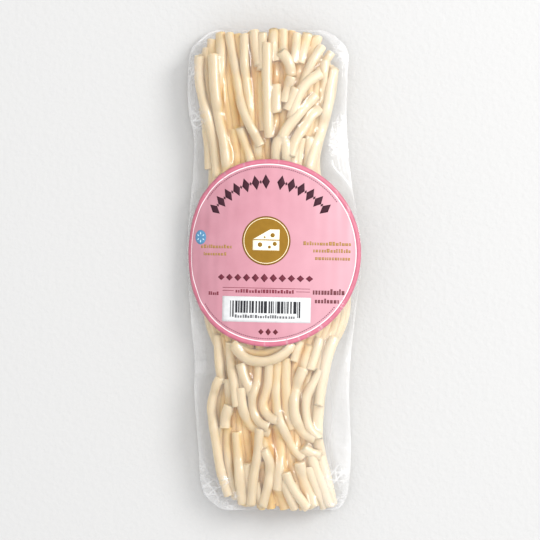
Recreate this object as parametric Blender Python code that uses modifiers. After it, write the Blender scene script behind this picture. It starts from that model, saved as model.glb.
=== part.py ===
"""Chechil, a cheese in strings, sealed in a clear vacuum bag with a round paper label on its front.

The pack lies on its back. +Y runs along the strands, +X across them, +Z out of the label.
The origin is the middle of the pack, on the surface that it lies on.
"""

import math
import random

import bmesh
import bpy
from mathutils import Vector

MM = 0.001

# Driving dimensions
PACK_LENGTH = 195 * MM
PACK_WIDTH = 71 * MM
STRAND_D = 3.8 * MM
LABEL_D = 74.5 * MM
LABEL_T = 0.4 * MM
LABEL_TOP = 22.8 * MM
SKIRT_T = 0.8 * MM
GAP = 0.35 * MM

# The bundle's outline, from its top end down, in mm: place along Y, left side, right side, height
BUNDLE = (
    (97, -27, 20, 15.0),
    (88, -31, 26, 17.0),
    (75, -31, 26, 18.5),
    (60, -28.5, 23, 19.5),
    (42, -27, 19, 21.0),
    (20, -28, 25, 22.0),
    (-5, -29, 31, 22.0),
    (-20, -28.5, 30.5, 21.5),
    (-38, -23, 22.2, 20.5),
    (-55, -26, 19, 20.0),
    (-70, -25, 19, 19.0),
    (-85, -22, 22.6, 17.5),
    (-97, -17, 25, 15.0),
)
SIDE_LEVEL = 0.42  # how far up its height the bundle is widest
SQUARENESS = 2.5  # 2 is an ellipse, and more is a fuller section
BELLY = 1.2  # the underside's curve against the height of the sides: over 1 it is pressed flat
END_ROUND = 0.013  # how much shorter the bundle is at its sides than in its middle, per mm of width

# The film's welded skirt, from the top end down, in mm: place along Y, left edge, right edge
SKIRT = (
    (97.5, -26, 22),
    (90, -33.5, 29.5),
    (79, -35.3, 30),
    (64, -34.8, 29.6),
    (54, -32.8, 29.8),
    (40, -33.2, 31),
    (8, -35.5, 35.5),
    (-20, -34, 33),
    (-36, -32.6, 31.2),
    (-50, -32.6, 30.6),
    (-72, -31, 31.4),
    (-90, -29, 30),
    (-97.5, -22, 27),
)
SKIRT_INNER_Z = 6.5 * MM
SKIRT_OUTER_Z = 3.0 * MM
SKIRT_WAVE = 0.9 * MM
CORNER_FULLNESS = 6  # a larger number gives the skirt tighter corners

# The label's place and its bend, which is tighter on the left
LABEL_X = -2.4 * MM
LABEL_Y = 6.8 * MM
LABEL_TURN = math.radians(-1.2)
LABEL_BEND_LEFT = 41 * MM
LABEL_BEND_RIGHT = 120 * MM
LABEL_DROOP = 1.2 * MM
BED_FOOT = 1.2  # how much longer the film's tent under the label is at its foot than at its top

# The strands that show, in mm and as they lie, the deepest last in each part of the pack.
# Start x and y, end x and y, bow to the side at the middle, sway of an S bend, and depth in layers.
UPPER_STRANDS = (
    (-30.4, 85.2, -23.2, 36.0, 0.0, -1.2, 0),
    (-24.2, 86.0, -18.6, 37.0, -0.6, -0.8, 0),
    (-16.4, 93.2, -4.4, 48.4, -3.4, 0.4, 0),
    (-11.6, 93.2, -9.4, 57.0, 0.2, 0.3, 0),
    (-3.2, 91.2, -2.6, 51.6, -0.8, 0.4, 0),
    (0.6, 73.6, 0.6, 62.8, 0.0, 0.0, 0),
    (3.6, 96.4, 3.4, 87.0, 0.0, 0.0, 0),
    (1.8, 87.4, 7.2, 77.6, 1.2, 0.0, 0),
    (7.2, 77.2, 4.0, 66.0, 0.6, 0.0, 0),
    (9.2, 71.4, 3.6, 64.0, 0.0, 0.0, 0),
    (18.8, 78.6, 6.0, 58.0, -2.8, 0.0, 0),
    (17.6, 70.0, 3.2, 52.8, 0.4, 0.0, 0),
    (18.2, 65.2, 6.0, 47.0, -0.8, 0.3, 0),
    (24.8, 81.2, 14.6, 39.0, 1.2, 0.0, 0),
    (23.6, 87.4, 16.6, 76.0, -0.4, 0.0, 0),
    (17.2, 94.0, 13.8, 85.0, 0.4, 0.0, 0),
    (12.0, 89.6, 6.2, 85.0, 0.6, 0.0, 0),
    (-0.4, 52.0, 5.8, 52.2, 0.5, 0.0, 0),
    (0.6, 51.0, 0.6, 37.0, 0.0, 0.0, 0),
    (4.8, 51.0, 4.6, 37.0, 0.0, 0.0, 0),
    (11.8, 53.0, 9.0, 38.0, 0.4, 0.0, 0),
    (-13.6, 56.8, -8.6, 38.0, 0.4, 0.0, 0),
    (-6.2, 48.4, -5.8, 38.0, 0.0, 0.0, 0),
    (-21.6, 95.4, -18.0, 44.0, -0.4, 0.3, 1),
    (-29.4, 64.0, -27.0, 40.0, -0.4, 0.0, 1),
    (-7.2, 96.4, -7.0, 58.0, 0.4, 0.0, 1),
    (0.8, 89.0, 1.2, 74.2, 0.0, 0.0, 1),
    (8.6, 95.0, 7.4, 86.0, 0.0, 0.0, 1),
    (20.4, 90.0, 11.4, 70.0, -1.6, 0.0, 1),
    (10.2, 85.0, 8.6, 70.0, 0.6, 0.0, 1),
    (8.0, 51.0, 6.8, 38.0, 0.0, 0.0, 1),
)
LOWER_STRANDS = (
    (-22.6, -22.0, -20.2, -46.6, -0.2, 0.4, 0),
    (-23.0, -46.8, -16.6, -92.0, -3.2, 0.0, 0),
    (-21.0, -55.0, -14.6, -92.6, -2.4, 0.0, 0),
    (-17.4, -27.0, -14.8, -54.6, 0.4, 0.0, 0),
    (-15.6, -28.0, 9.6, -28.0, -7.4, 0.0, 0),
    (-6.4, -38.0, -7.2, -53.4, 0.0, 0.0, 0),
    (-12.0, -53.4, -1.4, -65.6, -3.8, 0.0, 0),
    (-8.6, -52.4, -1.4, -62.4, -2.3, 0.0, 0),
    (-2.4, -38.8, 1.8, -60.0, -3.0, 0.3, 0),
    (1.6, -37.0, 11.2, -75.4, -3.3, 0.4, 0),
    (4.8, -35.0, 6.0, -60.0, 0.3, 0.0, 0),
    (12.6, -28.0, 8.0, -39.2, 0.3, 0.0, 0),
    (15.8, -27.0, 13.2, -40.2, 0.3, 0.0, 0),
    (19.4, -24.0, 16.2, -41.4, -0.3, 0.0, 0),
    (25.6, -24.0, 17.8, -56.0, -1.6, 0.0, 0),
    (12.4, -40.6, 16.8, -69.0, -5.4, 0.0, 0),
    (17.2, -41.0, 17.2, -67.2, -4.4, 0.0, 0),
    (-17.2, -55.0, -18.8, -63.8, -0.8, 0.0, 0),
    (-15.2, -65.2, -12.0, -94.0, 0.3, 0.0, 0),
    (-6.4, -66.8, -9.0, -94.8, 0.8, 0.0, 0),
    (-4.4, -71.2, -4.8, -95.2, 2.2, 0.0, 0),
    (2.0, -64.6, 0.8, -88.2, 0.9, 0.0, 0),
    (2.8, -78.2, 7.6, -94.4, -0.8, 0.0, 0),
    (10.0, -78.0, 15.2, -95.2, -0.8, 0.0, 0),
    (14.0, -74.8, 21.8, -95.8, -0.6, 0.0, 0),
    (17.6, -74.6, 25.0, -94.8, 0.5, 0.0, 0),
    (9.2, -66.8, 19.0, -74.8, -1.6, 0.0, 0),
    (-19.2, -40.6, -18.0, -56.0, 0.0, 0.0, 1),
    (-9.8, -32.0, 6.2, -31.2, -1.2, 0.0, 1),
    (-12.0, -40.0, -8.8, -54.0, -0.3, 0.0, 1),
    (21.8, -28.0, 19.0, -50.0, -0.4, 0.0, 1),
    (19.8, -44.0, 18.2, -72.0, -0.8, 0.0, 1),
    (-18.8, -66.0, -13.6, -93.4, -1.0, 0.0, 1),
    (-9.8, -66.0, -10.4, -94.4, 0.4, 0.0, 1),
    (7.6, -61.0, 12.6, -72.0, -0.6, 0.0, 1),
    (5.4, -83.6, 13.0, -95.6, -0.4, 0.0, 1),
)
LAYER_STEP = 0.62  # how much deeper each layer lies, in strand diameters
RIDE_OVER = 0.75  # how far a strand lifts over one that it crosses, in strand diameters
ROUND_STRANDS = 26  # strands round the bundle, under those that show and along its sides and back
HIDDEN_ABOVE = 0.5  # the sine of the angle round the bundle from which shown strands hide the round ones
STEP_ALONG = 11.5 * MM
FLATTENED = 0.72  # how high the lowest strands' middles lie, in their radii: their backs are pressed flat
UNEVEN = 0.08  # how much the strands' thickness varies
SEED = 7

CHEESE = (0.93, 0.80, 0.56)
LABEL_PINK = (0.86, 0.42, 0.55)


def along(table, y):
    """The row of a table at a place along Y in mm, on a smooth curve through the rows, which run downwards."""
    y = min(max(y, table[-1][0]), table[0][0])
    last = len(table) - 1
    i = max(k for k in range(last) if table[k][0] >= y)
    before, low, high, after = (table[min(max(k, 0), last)] for k in (i - 1, i, i + 1, i + 2))
    span = high[0] - low[0]
    t = (y - low[0]) / span
    row = []
    for k in range(1, len(low)):
        slope_low = (high[k] - before[k]) / (high[0] - before[0]) * span
        slope_high = (after[k] - low[k]) / (after[0] - low[0]) * span
        row.append(
            (2 * t**3 - 3 * t**2 + 1) * low[k]
            + (t**3 - 2 * t**2 + t) * slope_low
            + (3 * t**2 - 2 * t**3) * high[k]
            + (t**3 - t**2) * slope_high
        )
    return row


def section(y):
    """The bundle's middle in X, its half width, its height and the level of its sides, at y in metres."""
    left, right, height = along(BUNDLE, y / MM)
    return (left + right) / 2 * MM, (right - left) / 2 * MM, height * MM, SIDE_LEVEL * height * MM


def crown(x, y, inset):
    """The height of the bundle's upper surface at x and y, taken in by inset all round."""
    middle, half, height, side = section(y)
    across = min(abs(x - middle) / (half - inset), 1.0)
    return side + (height - side - inset) * (1 - across**SQUARENESS) ** (1 / SQUARENESS)


def on_section(y, angle, inset):
    """The point at an angle round the bundle's section, taken in by inset, and no lower than a strand lies."""
    middle, half, height, side = section(y)
    power = 2 / SQUARENESS
    over = math.copysign(abs(math.cos(angle)) ** power, math.cos(angle))
    up = abs(math.sin(angle)) ** power
    if math.sin(angle) > 0:
        z = side + (height - side - inset) * up
    else:
        z = side - (side * BELLY - inset) * up
    return Vector((middle + (half - inset) * over, y, max(z, inset * FLATTENED)))


def end_of(x, top):
    """Where the bundle ends along Y at x: it is rounded towards its sides."""
    middle, half, _, _ = section(PACK_LENGTH / 2 if top else -PACK_LENGTH / 2)
    inwards = END_ROUND / MM * (x - middle) ** 2
    reach = PACK_LENGTH / 2 - 2 * MM - inwards
    return reach if top else -reach


def shown_route(row, radius):
    """The line and radius of a strand that shows, as (point, radius) pairs, before it is lifted over others."""
    start, end = Vector(row[0:2]) * MM, Vector(row[2:4]) * MM
    bow, sway, layer = row[4] * MM, row[5] * MM, row[6]
    run = end - start
    sideways = Vector((-run.y, run.x)).normalized()
    count = max(3, round((run.length + abs(bow)) / STEP_ALONG) + 2)
    route = []
    for i in range(count):
        t = i / (count - 1)
        flat = start + run * t + sideways * (bow * 4 * t * (1 - t) + sway * math.sin(2 * math.pi * t))
        middle, half, _, _ = section(flat.y)
        room = half - STRAND_D / 2
        x = min(max(flat.x, middle - room), middle + room)
        z = crown(x, flat.y, STRAND_D * (0.5 + LAYER_STEP * layer))
        route.append((Vector((x, flat.y, z)), radius))
    return route


def heading(route, i):
    """The direction of a route at its point i, seen from above."""
    ahead = route[min(i + 1, len(route) - 1)][0] - route[max(i - 1, 0)][0]
    return ahead.to_2d().normalized()


def lifted_over(route, others):
    """The route raised where it crosses others, and left alone where it runs beside them."""
    raised = []
    for i, (point, radius) in enumerate(route):
        lift = 0.0
        for other in others:
            for k, (near, near_radius) in enumerate(other):
                apart = (near - point).to_2d().length
                reach = radius + near_radius
                if apart >= 1.6 * reach:
                    continue
                crossing = abs(heading(route, i).cross(heading(other, k)))
                wanted = near.z + RIDE_OVER * STRAND_D * crossing - point.z
                lift = max(lift, wanted * crossing * (1 - (apart / (1.6 * reach)) ** 2))
        raised.append((point + Vector((0, 0, min(lift, 0.6 * STRAND_D))), radius))
    return raised


def shown_routes():
    """Every strand that shows, each lifted over the deeper ones that it crosses."""
    draw = random.Random(SEED)
    settled = []
    rows = sorted(UPPER_STRANDS + LOWER_STRANDS, key=lambda row: -row[6])
    for row in rows:
        radius = STRAND_D / 2 * draw.uniform(1 - UNEVEN, 1 + UNEVEN)
        settled.append(lifted_over(shown_route(row, radius), settled))
    return settled


def round_routes():
    """The strands round the bundle: at the surface on its sides and back, and fewer and deeper on its front."""
    draw = random.Random(SEED)
    routes = []
    for k in range(ROUND_STRANDS):
        angle = 2 * math.pi * (k + 0.5) / ROUND_STRANDS
        if math.sin(angle) > HIDDEN_ABOVE and k % 2:
            continue
        buried = STRAND_D * LAYER_STEP * min(max((math.sin(angle) - 0.25) / 0.3, 0), 1)
        inset = STRAND_D / 2 + buried
        radius = STRAND_D / 2 * draw.uniform(1 - UNEVEN, 1 + UNEVEN)
        wander, phase = draw.uniform(0.02, 0.07), draw.uniform(0, 2 * math.pi)
        place = on_section(0, angle, inset)
        top = end_of(place.x, True) - draw.uniform(1, 6) * MM
        bottom = end_of(place.x, False) + draw.uniform(1, 6) * MM
        count = round((top - bottom) / (2 * STEP_ALONG)) + 1
        route = []
        for i in range(count):
            y = top + (bottom - top) * i / (count - 1)
            turned = angle + wander * math.sin(phase + y * 45)
            route.append((on_section(y, turned, inset), radius))
        routes.append(route)
    return routes


def link(obj, collection):
    collection.objects.link(obj)
    return obj


def tube(name, route, collection):
    """A round strand with cut ends along a route, as a curve."""
    curve = bpy.data.curves.new(name, "CURVE")
    curve.dimensions = "3D"
    curve.bevel_depth = STRAND_D / 2
    curve.bevel_resolution = 1
    curve.use_fill_caps = True
    spline = curve.splines.new("POLY")
    spline.points.add(len(route) - 1)
    for point, (place, radius) in zip(spline.points, route):
        point.co = (*place, 1)
        point.radius = radius / curve.bevel_depth
    return link(bpy.data.objects.new(name, curve), collection)


def as_mesh(obj, collection):
    """The object as a plain mesh with its modifiers and bevel in it, its caps welded, in the object's place."""
    graph = bpy.context.evaluated_depsgraph_get()
    mesh = bpy.data.meshes.new_from_object(obj.evaluated_get(graph))
    work = bmesh.new()
    work.from_mesh(mesh)
    bmesh.ops.remove_doubles(work, verts=work.verts, dist=0.01 * MM)
    bmesh.ops.recalc_face_normals(work, faces=work.faces)
    work.to_mesh(mesh)
    work.free()
    made = link(bpy.data.objects.new(obj.name + "_mesh", mesh), collection)
    made.matrix_world = obj.matrix_world
    bpy.data.objects.remove(obj)
    return made


def object_from(name, work, collection):
    """An object that holds a finished bmesh."""
    bmesh.ops.recalc_face_normals(work, faces=work.faces)
    mesh = bpy.data.meshes.new(name)
    work.to_mesh(mesh)
    work.free()
    return link(bpy.data.objects.new(name, mesh), collection)


def core(collection):
    """The bundle's filling, under its outer strands: a loft between sections along Y."""
    sides, stations = 24, 15
    inset, deeper = 0.62 * STRAND_D, 0.62 * STRAND_D
    reach = PACK_LENGTH / 2 - 8 * MM
    work = bmesh.new()
    rings = []
    for i in range(stations):
        y = reach - 2 * reach * i / (stations - 1)
        ring = []
        for k in range(sides):
            angle = 2 * math.pi * k / sides
            point = on_section(y, angle, inset + deeper * max(math.sin(angle), 0))
            point.z = max(point.z, 1.1 * MM)
            ring.append(work.verts.new(point))
        rings.append(ring)
    for ring, after in zip(rings, rings[1:]):
        for k in range(sides):
            n = (k + 1) % sides
            work.faces.new((ring[k], ring[n], after[n], after[k]))
    work.faces.new(rings[0])
    work.faces.new(rings[-1][::-1])
    return object_from("core", work, collection)


def disc(name, place, shares, spokes, collection):
    """An open surface of spokes and of rings at these shares of the radius, with points from place(share, angle)."""
    work = bmesh.new()
    middle = work.verts.new(place(0, 0))
    loops = [
        [work.verts.new(place(share, 2 * math.pi * k / spokes)) for k in range(spokes)] for share in shares
    ]
    for k in range(spokes):
        n = (k + 1) % spokes
        work.faces.new((middle, loops[0][k], loops[0][n]))
        for inner, outer in zip(loops, loops[1:]):
            work.faces.new((inner[k], outer[k], outer[n], inner[n]))
    return object_from(name, work, collection)


def thickened(obj, thickness, offset):
    """The object with a Solidify: offset 1 adds the thickness above its surface, and -1 below."""
    shell = obj.modifiers.new("thickness", "SOLIDIFY")
    shell.thickness = thickness
    shell.offset = offset
    return obj


def skirt_height(x, y):
    """The height of the middle of the film's skirt: it falls from the bundle to its welded edge, in waves."""
    left, right = along(SKIRT, y / MM)
    across = abs(x / MM - (left + right) / 2) / ((right - left) / 2)
    out = min(max(across - 0.6, abs(y) / (PACK_LENGTH / 2) - 0.6, 0) / 0.4, 1)
    wave = SKIRT_WAVE * math.sin(y * 150 + math.copysign(2, x)) * out
    return SKIRT_INNER_Z + (SKIRT_OUTER_Z - SKIRT_INNER_Z) * out + wave


def skirt_point(share, angle):
    """A point of the film's skirt, a sheet that runs through the bundle and ends in round corners."""
    y = math.copysign(math.sqrt(abs(math.sin(angle))), math.sin(angle)) * PACK_LENGTH / 2
    left, right = along(SKIRT, y / MM)
    sideways = max(min(CORNER_FULLNESS * math.cos(angle), 1), -1)
    x = ((left + right) / 2 + (right - left) / 2 * sideways) * MM
    return Vector((x * share, y * share, skirt_height(x * share, y * share)))


def label_point(u, v, drop):
    """The point of the label at u across and v along it, as cut flat, with its face lowered by drop."""
    bend = LABEL_BEND_LEFT if u < 0 else LABEL_BEND_RIGHT
    slope = u / bend
    x = (bend - drop) * math.sin(slope)
    z = LABEL_TOP - bend + (bend - drop) * math.cos(slope) - LABEL_DROOP * (2 * v / LABEL_D) ** 2
    turn_x = x * math.cos(LABEL_TURN) - v * math.sin(LABEL_TURN)
    turn_y = x * math.sin(LABEL_TURN) + v * math.cos(LABEL_TURN)
    return Vector((LABEL_X + turn_x, LABEL_Y + turn_y, z))


def label_surface(name, radius, drop, collection):
    """The label's face as an open round sheet of a given radius, lowered by drop."""

    def place(share, angle):
        return label_point(share * radius * math.cos(angle), share * radius * math.sin(angle), drop)

    return disc(name, place, (0.2, 0.4, 0.6, 0.8, 1), 36, collection)


def label_bed(collection):
    """What fills the bag under its label, down to the skirt, and longer at its foot. Its top is cut off later."""
    bed = label_surface("bed", LABEL_D / 2 - GAP, -GAP, collection)
    work = bmesh.new()
    work.from_mesh(bed.data)
    made = bmesh.ops.extrude_face_region(work, geom=work.faces[:])
    for item in made["geom"]:
        if isinstance(item, bmesh.types.BMVert):
            item.co.y = LABEL_Y + (item.co.y - LABEL_Y) * BED_FOOT
            item.co.z = skirt_height(item.co.x, item.co.y)
    bmesh.ops.recalc_face_normals(work, faces=work.faces)
    work.to_mesh(bed.data)
    work.free()
    return bed


def boolean(obj, operation, collection):
    """Joins a collection's meshes to the object, or cuts them from it, and applies that."""
    modifier = obj.modifiers.new(operation.lower(), "BOOLEAN")
    modifier.operation = operation
    modifier.operand_type = "COLLECTION"
    modifier.collection = collection
    modifier.solver = "MANIFOLD"
    graph = bpy.context.evaluated_depsgraph_get()
    mesh = bpy.data.meshes.new_from_object(obj.evaluated_get(graph))
    obj.modifiers.clear()
    obj.data = mesh


def keep_largest_shell(obj):
    """Drops loose scraps, and the walls of hollows that fusing sealed, which fills them."""
    work = bmesh.new()
    work.from_mesh(obj.data)
    left = set(work.faces)
    shells = []
    while left:
        shell, queue = set(), [left.pop()]
        while queue:
            face = queue.pop()
            shell.add(face)
            near = {f for edge in face.edges for f in edge.link_faces} & left
            left -= near
            queue.extend(near)
        shells.append(shell)
    shells.sort(key=len)
    scraps = [face for shell in shells[:-1] for face in shell]
    bmesh.ops.delete(work, geom=scraps, context="FACES")
    work.to_mesh(obj.data)
    work.free()


def remove_collection(collection):
    for obj in list(collection.objects):
        bpy.data.objects.remove(obj)
    bpy.data.collections.remove(collection)


def table_cutter(collection):
    """A block under the surface that the pack lies on, which leaves the strands' backs flat."""
    bpy.ops.mesh.primitive_cube_add(size=1)
    block = bpy.context.object
    for owner in list(block.users_collection):
        owner.objects.unlink(block)
    block.scale = (2 * PACK_WIDTH, 2 * PACK_LENGTH, 10 * MM)
    block.location = (0, 0, -5 * MM)
    block.data.transform(block.matrix_basis)
    block.matrix_basis.identity()
    return link(block, collection)


def material(name, colour, roughness):
    made = bpy.data.materials.new(name)
    made.use_nodes = True
    shader = made.node_tree.nodes["Principled BSDF"]
    shader.inputs["Base Color"].default_value = (*colour, 1)
    shader.inputs["Roughness"].default_value = roughness
    shader.inputs["Metallic"].default_value = 0
    return made


def filled_bag(pack, joined, cutters):
    """The clear bag and the cheese that it clings to, as one solid out to the strands' uneven outline."""
    bag = core(pack)
    bag.name = "filled_bag"
    for k, route in enumerate(shown_routes() + round_routes()):
        as_mesh(tube(f"strand_{k:02d}", route, joined), joined)
    as_mesh(thickened(disc("skirt", skirt_point, (0.5, 0.8, 1), 52, joined), SKIRT_T, 0), joined)
    label_bed(joined)
    boolean(bag, "UNION", joined)
    remove_collection(joined)
    table_cutter(cutters)
    clearance = label_surface("label_clearance", LABEL_D / 2 + GAP, LABEL_T + GAP, cutters)
    as_mesh(thickened(clearance, 8 * MM, 1), cutters)
    boolean(bag, "DIFFERENCE", cutters)
    remove_collection(cutters)
    keep_largest_shell(bag)
    bag.data.materials.clear()
    bag.data.materials.append(material("cheese_in_film", CHEESE, 0.3))
    return bag


def label(pack):
    """The round paper label, bent over the pack."""
    sheet = label_surface("label", LABEL_D / 2, 0, pack)
    thickened(sheet, LABEL_T, -1)
    sheet.data.materials.append(material("label_paper", LABEL_PINK, 0.45))
    sheet.data.shade_smooth()
    return sheet


def main():
    for obj in list(bpy.data.objects):
        bpy.data.objects.remove(obj)
    pack, joined, cutters = (bpy.data.collections.new(n) for n in ("chechil_pack", "joined", "cutters"))
    for collection in (pack, joined, cutters):
        bpy.context.scene.collection.children.link(collection)
    filled_bag(pack, joined, cutters)
    label(pack)


main()
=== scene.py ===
"""The looks of string cheese in a vacuum bag: the strings themselves, the clear film that clings to them,
and the round label with its print. Sizes are in metres where nothing else is said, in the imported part's
frame: +Y runs along the strings, and +Z out of the label. A place read off the photograph is in its pixels,
and seen() turns it into metres.
"""

import math
import random

import bmesh
import bpy
import numpy as np
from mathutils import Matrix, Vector
from mathutils.bvhtree import BVHTree

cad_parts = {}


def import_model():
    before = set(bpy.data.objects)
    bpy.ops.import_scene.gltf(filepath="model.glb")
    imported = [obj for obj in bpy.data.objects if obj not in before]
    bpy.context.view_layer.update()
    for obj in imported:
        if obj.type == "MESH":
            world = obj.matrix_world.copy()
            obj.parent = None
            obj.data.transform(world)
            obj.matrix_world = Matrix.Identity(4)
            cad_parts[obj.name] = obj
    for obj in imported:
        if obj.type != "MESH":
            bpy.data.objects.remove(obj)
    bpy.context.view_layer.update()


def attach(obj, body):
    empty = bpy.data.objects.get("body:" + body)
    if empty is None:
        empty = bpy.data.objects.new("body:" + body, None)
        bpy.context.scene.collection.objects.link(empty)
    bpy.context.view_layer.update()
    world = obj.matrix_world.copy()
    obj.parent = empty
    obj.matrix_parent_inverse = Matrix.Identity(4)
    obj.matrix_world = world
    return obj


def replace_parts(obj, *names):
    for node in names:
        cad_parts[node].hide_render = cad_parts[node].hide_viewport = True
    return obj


MM = 0.001

# The photograph's view, from straight above
PIXEL = 0.4 * MM
PHOTO_SIDE = 540
SHARP_HEIGHT = 15 * MM  # the height at which a pixel has its size
CAMERA_HEIGHT = 0.9
CAMERA_X = -1.72 * MM
SENSOR = 36

# The bundle, as in the part's source
PACK_LENGTH = 195 * MM
STRAND_D = 3.8 * MM
BUNDLE = (
    (97, -27, 20, 15.0),
    (88, -31, 26, 17.0),
    (75, -31, 26, 18.5),
    (60, -28.5, 23, 19.5),
    (42, -27, 19, 21.0),
    (20, -28, 25, 22.0),
    (-5, -29, 31, 22.0),
    (-20, -28.5, 30.5, 21.5),
    (-38, -23, 22.2, 20.5),
    (-55, -26, 19, 20.0),
    (-70, -25, 19, 19.0),
    (-85, -22, 22.6, 17.5),
    (-97, -17, 25, 15.0),
)
SIDE_LEVEL = 0.42
SQUARENESS = 2.5
BELLY = 1.2
END_ROUND = 0.013

# The film's skirt, as in the part's source
SKIRT = (
    (97.5, -26, 22),
    (90, -33.5, 29.5),
    (79, -35.3, 30),
    (64, -34.8, 29.6),
    (54, -32.8, 29.8),
    (40, -33.2, 31),
    (8, -35.5, 35.5),
    (-20, -34, 33),
    (-36, -32.6, 31.2),
    (-50, -32.6, 30.6),
    (-72, -31, 31.4),
    (-90, -29, 30),
    (-97.5, -22, 27),
)
SKIRT_INNER_Z = 6.5 * MM
SKIRT_OUTER_Z = 3.0 * MM
SKIRT_WAVE = 0.9 * MM

# The label, as in the part's source but bent slightly less, its face lowered by the print's room
LABEL_X = -2.4 * MM
LABEL_Y = 6.8 * MM
LABEL_D = 74.5 * MM
LABEL_TOP = 22.8 * MM
LABEL_TURN = math.radians(-1.2)
LABEL_BEND_LEFT = 42.5 * MM
LABEL_BEND_RIGHT = 200 * MM
LABEL_DROOP = 1.2 * MM
PRINT_ROOM = 0.3 * MM
PAPER = 0.14 * MM
INK = 0.03 * MM
DARK_SHINE = 0.15  # how much inks reflect
PALE_SHINE = 0.5
RIPPLE = 0.15 * MM
RIPPLE_LENGTH = 4.4 * MM
RIPPLE_FROM = 12 * MM  # how far from the label's middle the ripples start, and how far on they are full
RIPPLE_GROWTH = 20 * MM
LABEL_RINGS = 44
LABEL_SPOKES = 180

# The label's print, in mm on the label laid flat
CELL = 1.2  # the most that one flat face of print spans, so that it follows the bent paper
ROUND_STEP = 0.9  # the longest step round a printed ring
MARK_GAP = (0.25, 0.45)  # between the small marks in a line
LOW_MARK = 0.72  # how high most of them are, as a share of the tallest
TALL_MARKS = 0.35  # the share of them that are the tallest
TITLE_ARC = 29.2  # its radius, and how far its centre lies under the label's
TITLE_DROP = 0.9
ROSETTE = (-1.0, 4.8)
BADGE = (-30, 5.8)
FLAKE_OUT = 1.6  # how far the badge's flakes lie from its middle
CODE_UNITS = 92  # how many of its narrowest bars would fill the bar pattern
CODE_FOOT = 1.7  # how much lower the outer bars reach
GOLD = (0.25, 0.13, 0.012)

# Strings that show above and below the label: the layer, 2 being the deepest, then the places that each runs
# through, in the photograph's pixels
ABOVE_LABEL = (
    (2, (227, 45), (226, 80), (226, 110), (228, 140), (230, 168)),
    (2, (252, 35), (253, 60), (256, 85), (257.5, 105), (258, 125), (260, 148)),
    (2, (276, 40), (277, 62), (276, 90)),
    (2, (300, 52), (301, 75), (297, 96), (294, 120)),
    (2, (201, 106), (204.5, 140), (206, 168)),
    (2, (234, 130), (236.5, 150), (240, 170)),
    (2, (268, 120), (267, 145), (268, 170)),
    (2, (312, 70), (309, 100), (306, 130), (300, 165)),
    (2, (292, 30), (290, 45), (288, 60)),
    (2, (275, 106), (275.5, 125), (277, 145)),
    (2, (281, 145), (281, 158), (281, 172)),
    (2, (262, 58), (262, 85), (262.5, 110), (264, 130)),
    (1, (220.3, 31.5), (221, 50), (220.5, 68), (218, 88), (217.5, 100)),
    (1, (212, 38), (212, 56), (214, 78)),
    (1, (254, 30), (255.5, 48), (259, 66)),
    (1, (262.5, 32), (262, 50), (261, 70)),
    (1, (237.5, 33), (240, 50), (242, 66)),
    (1, (274, 29), (273, 44), (276, 60)),
    (1, (318, 35), (313, 50), (310, 62)),
    (1, (308, 32), (304, 47), (300, 62)),
    (1, (297, 33), (296, 50), (294, 62)),
    (1, (332, 51), (325, 61), (317, 73)),
    (1, (325, 60), (323.5, 80), (322, 106)),
    (1, (316, 143), (313, 158), (311, 174)),
    (1, (309.5, 136), (309, 155), (306, 172)),
    (1, (302, 138), (299, 155), (297, 172)),
    (1, (293, 143), (293.5, 158), (292, 172)),
    (1, (258, 145), (259.5, 172)),
    (1, (285, 98), (283.5, 110), (284.5, 123), (283, 136)),
    (0, (199.3, 54.5), (198.8, 75), (202.5, 98), (207.6, 117), (211.8, 133), (215, 150), (217, 174)),
    (0, (213, 54.4), (214.5, 85), (218.7, 117), (224, 143), (228, 174)),
    (0, (244.3, 34.5), (244.6, 64), (247, 85), (249.6, 106), (251, 126)),
    (0, (229, 32.5), (231, 45), (234.5, 64), (237.8, 85), (241.8, 106), (248.2, 122), (254.5, 133.6),
     (260.5, 146)),
    (0, (267, 43), (267, 75), (267.5, 96), (268.2, 117), (269.5, 137)),
    (0, (283, 29.5), (283, 53)),
    (0, (281, 51.5), (286.5, 58), (290.3, 67), (291, 75)),
    (0, (291.3, 76.8), (288, 88), (284, 102)),
    (0, (276, 85), (276, 112.5)),
    (0, (322, 46), (313, 60), (306, 75), (301, 90)),
    (0, (296, 89), (291.5, 100), (287, 110)),
    (0, (320.8, 73), (309, 81), (300, 92), (294.5, 106), (291.5, 118)),
    (0, (316, 95), (303, 109), (292, 122), (285, 132), (281, 142)),
    (0, (320.8, 108), (311, 115), (303, 128), (295, 141), (290, 157)),
    (0, (335.5, 67), (331, 85), (329, 101), (325, 117), (320.5, 133), (314.5, 149), (309, 170)),
    (0, (276, 169), (275.8, 152), (277.4, 142.5), (281.3, 139.8), (285.2, 142.5), (286.6, 152), (286.5, 169)),
    (0, (240, 127.5), (245, 142), (250, 157), (253, 174)),
)
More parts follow.
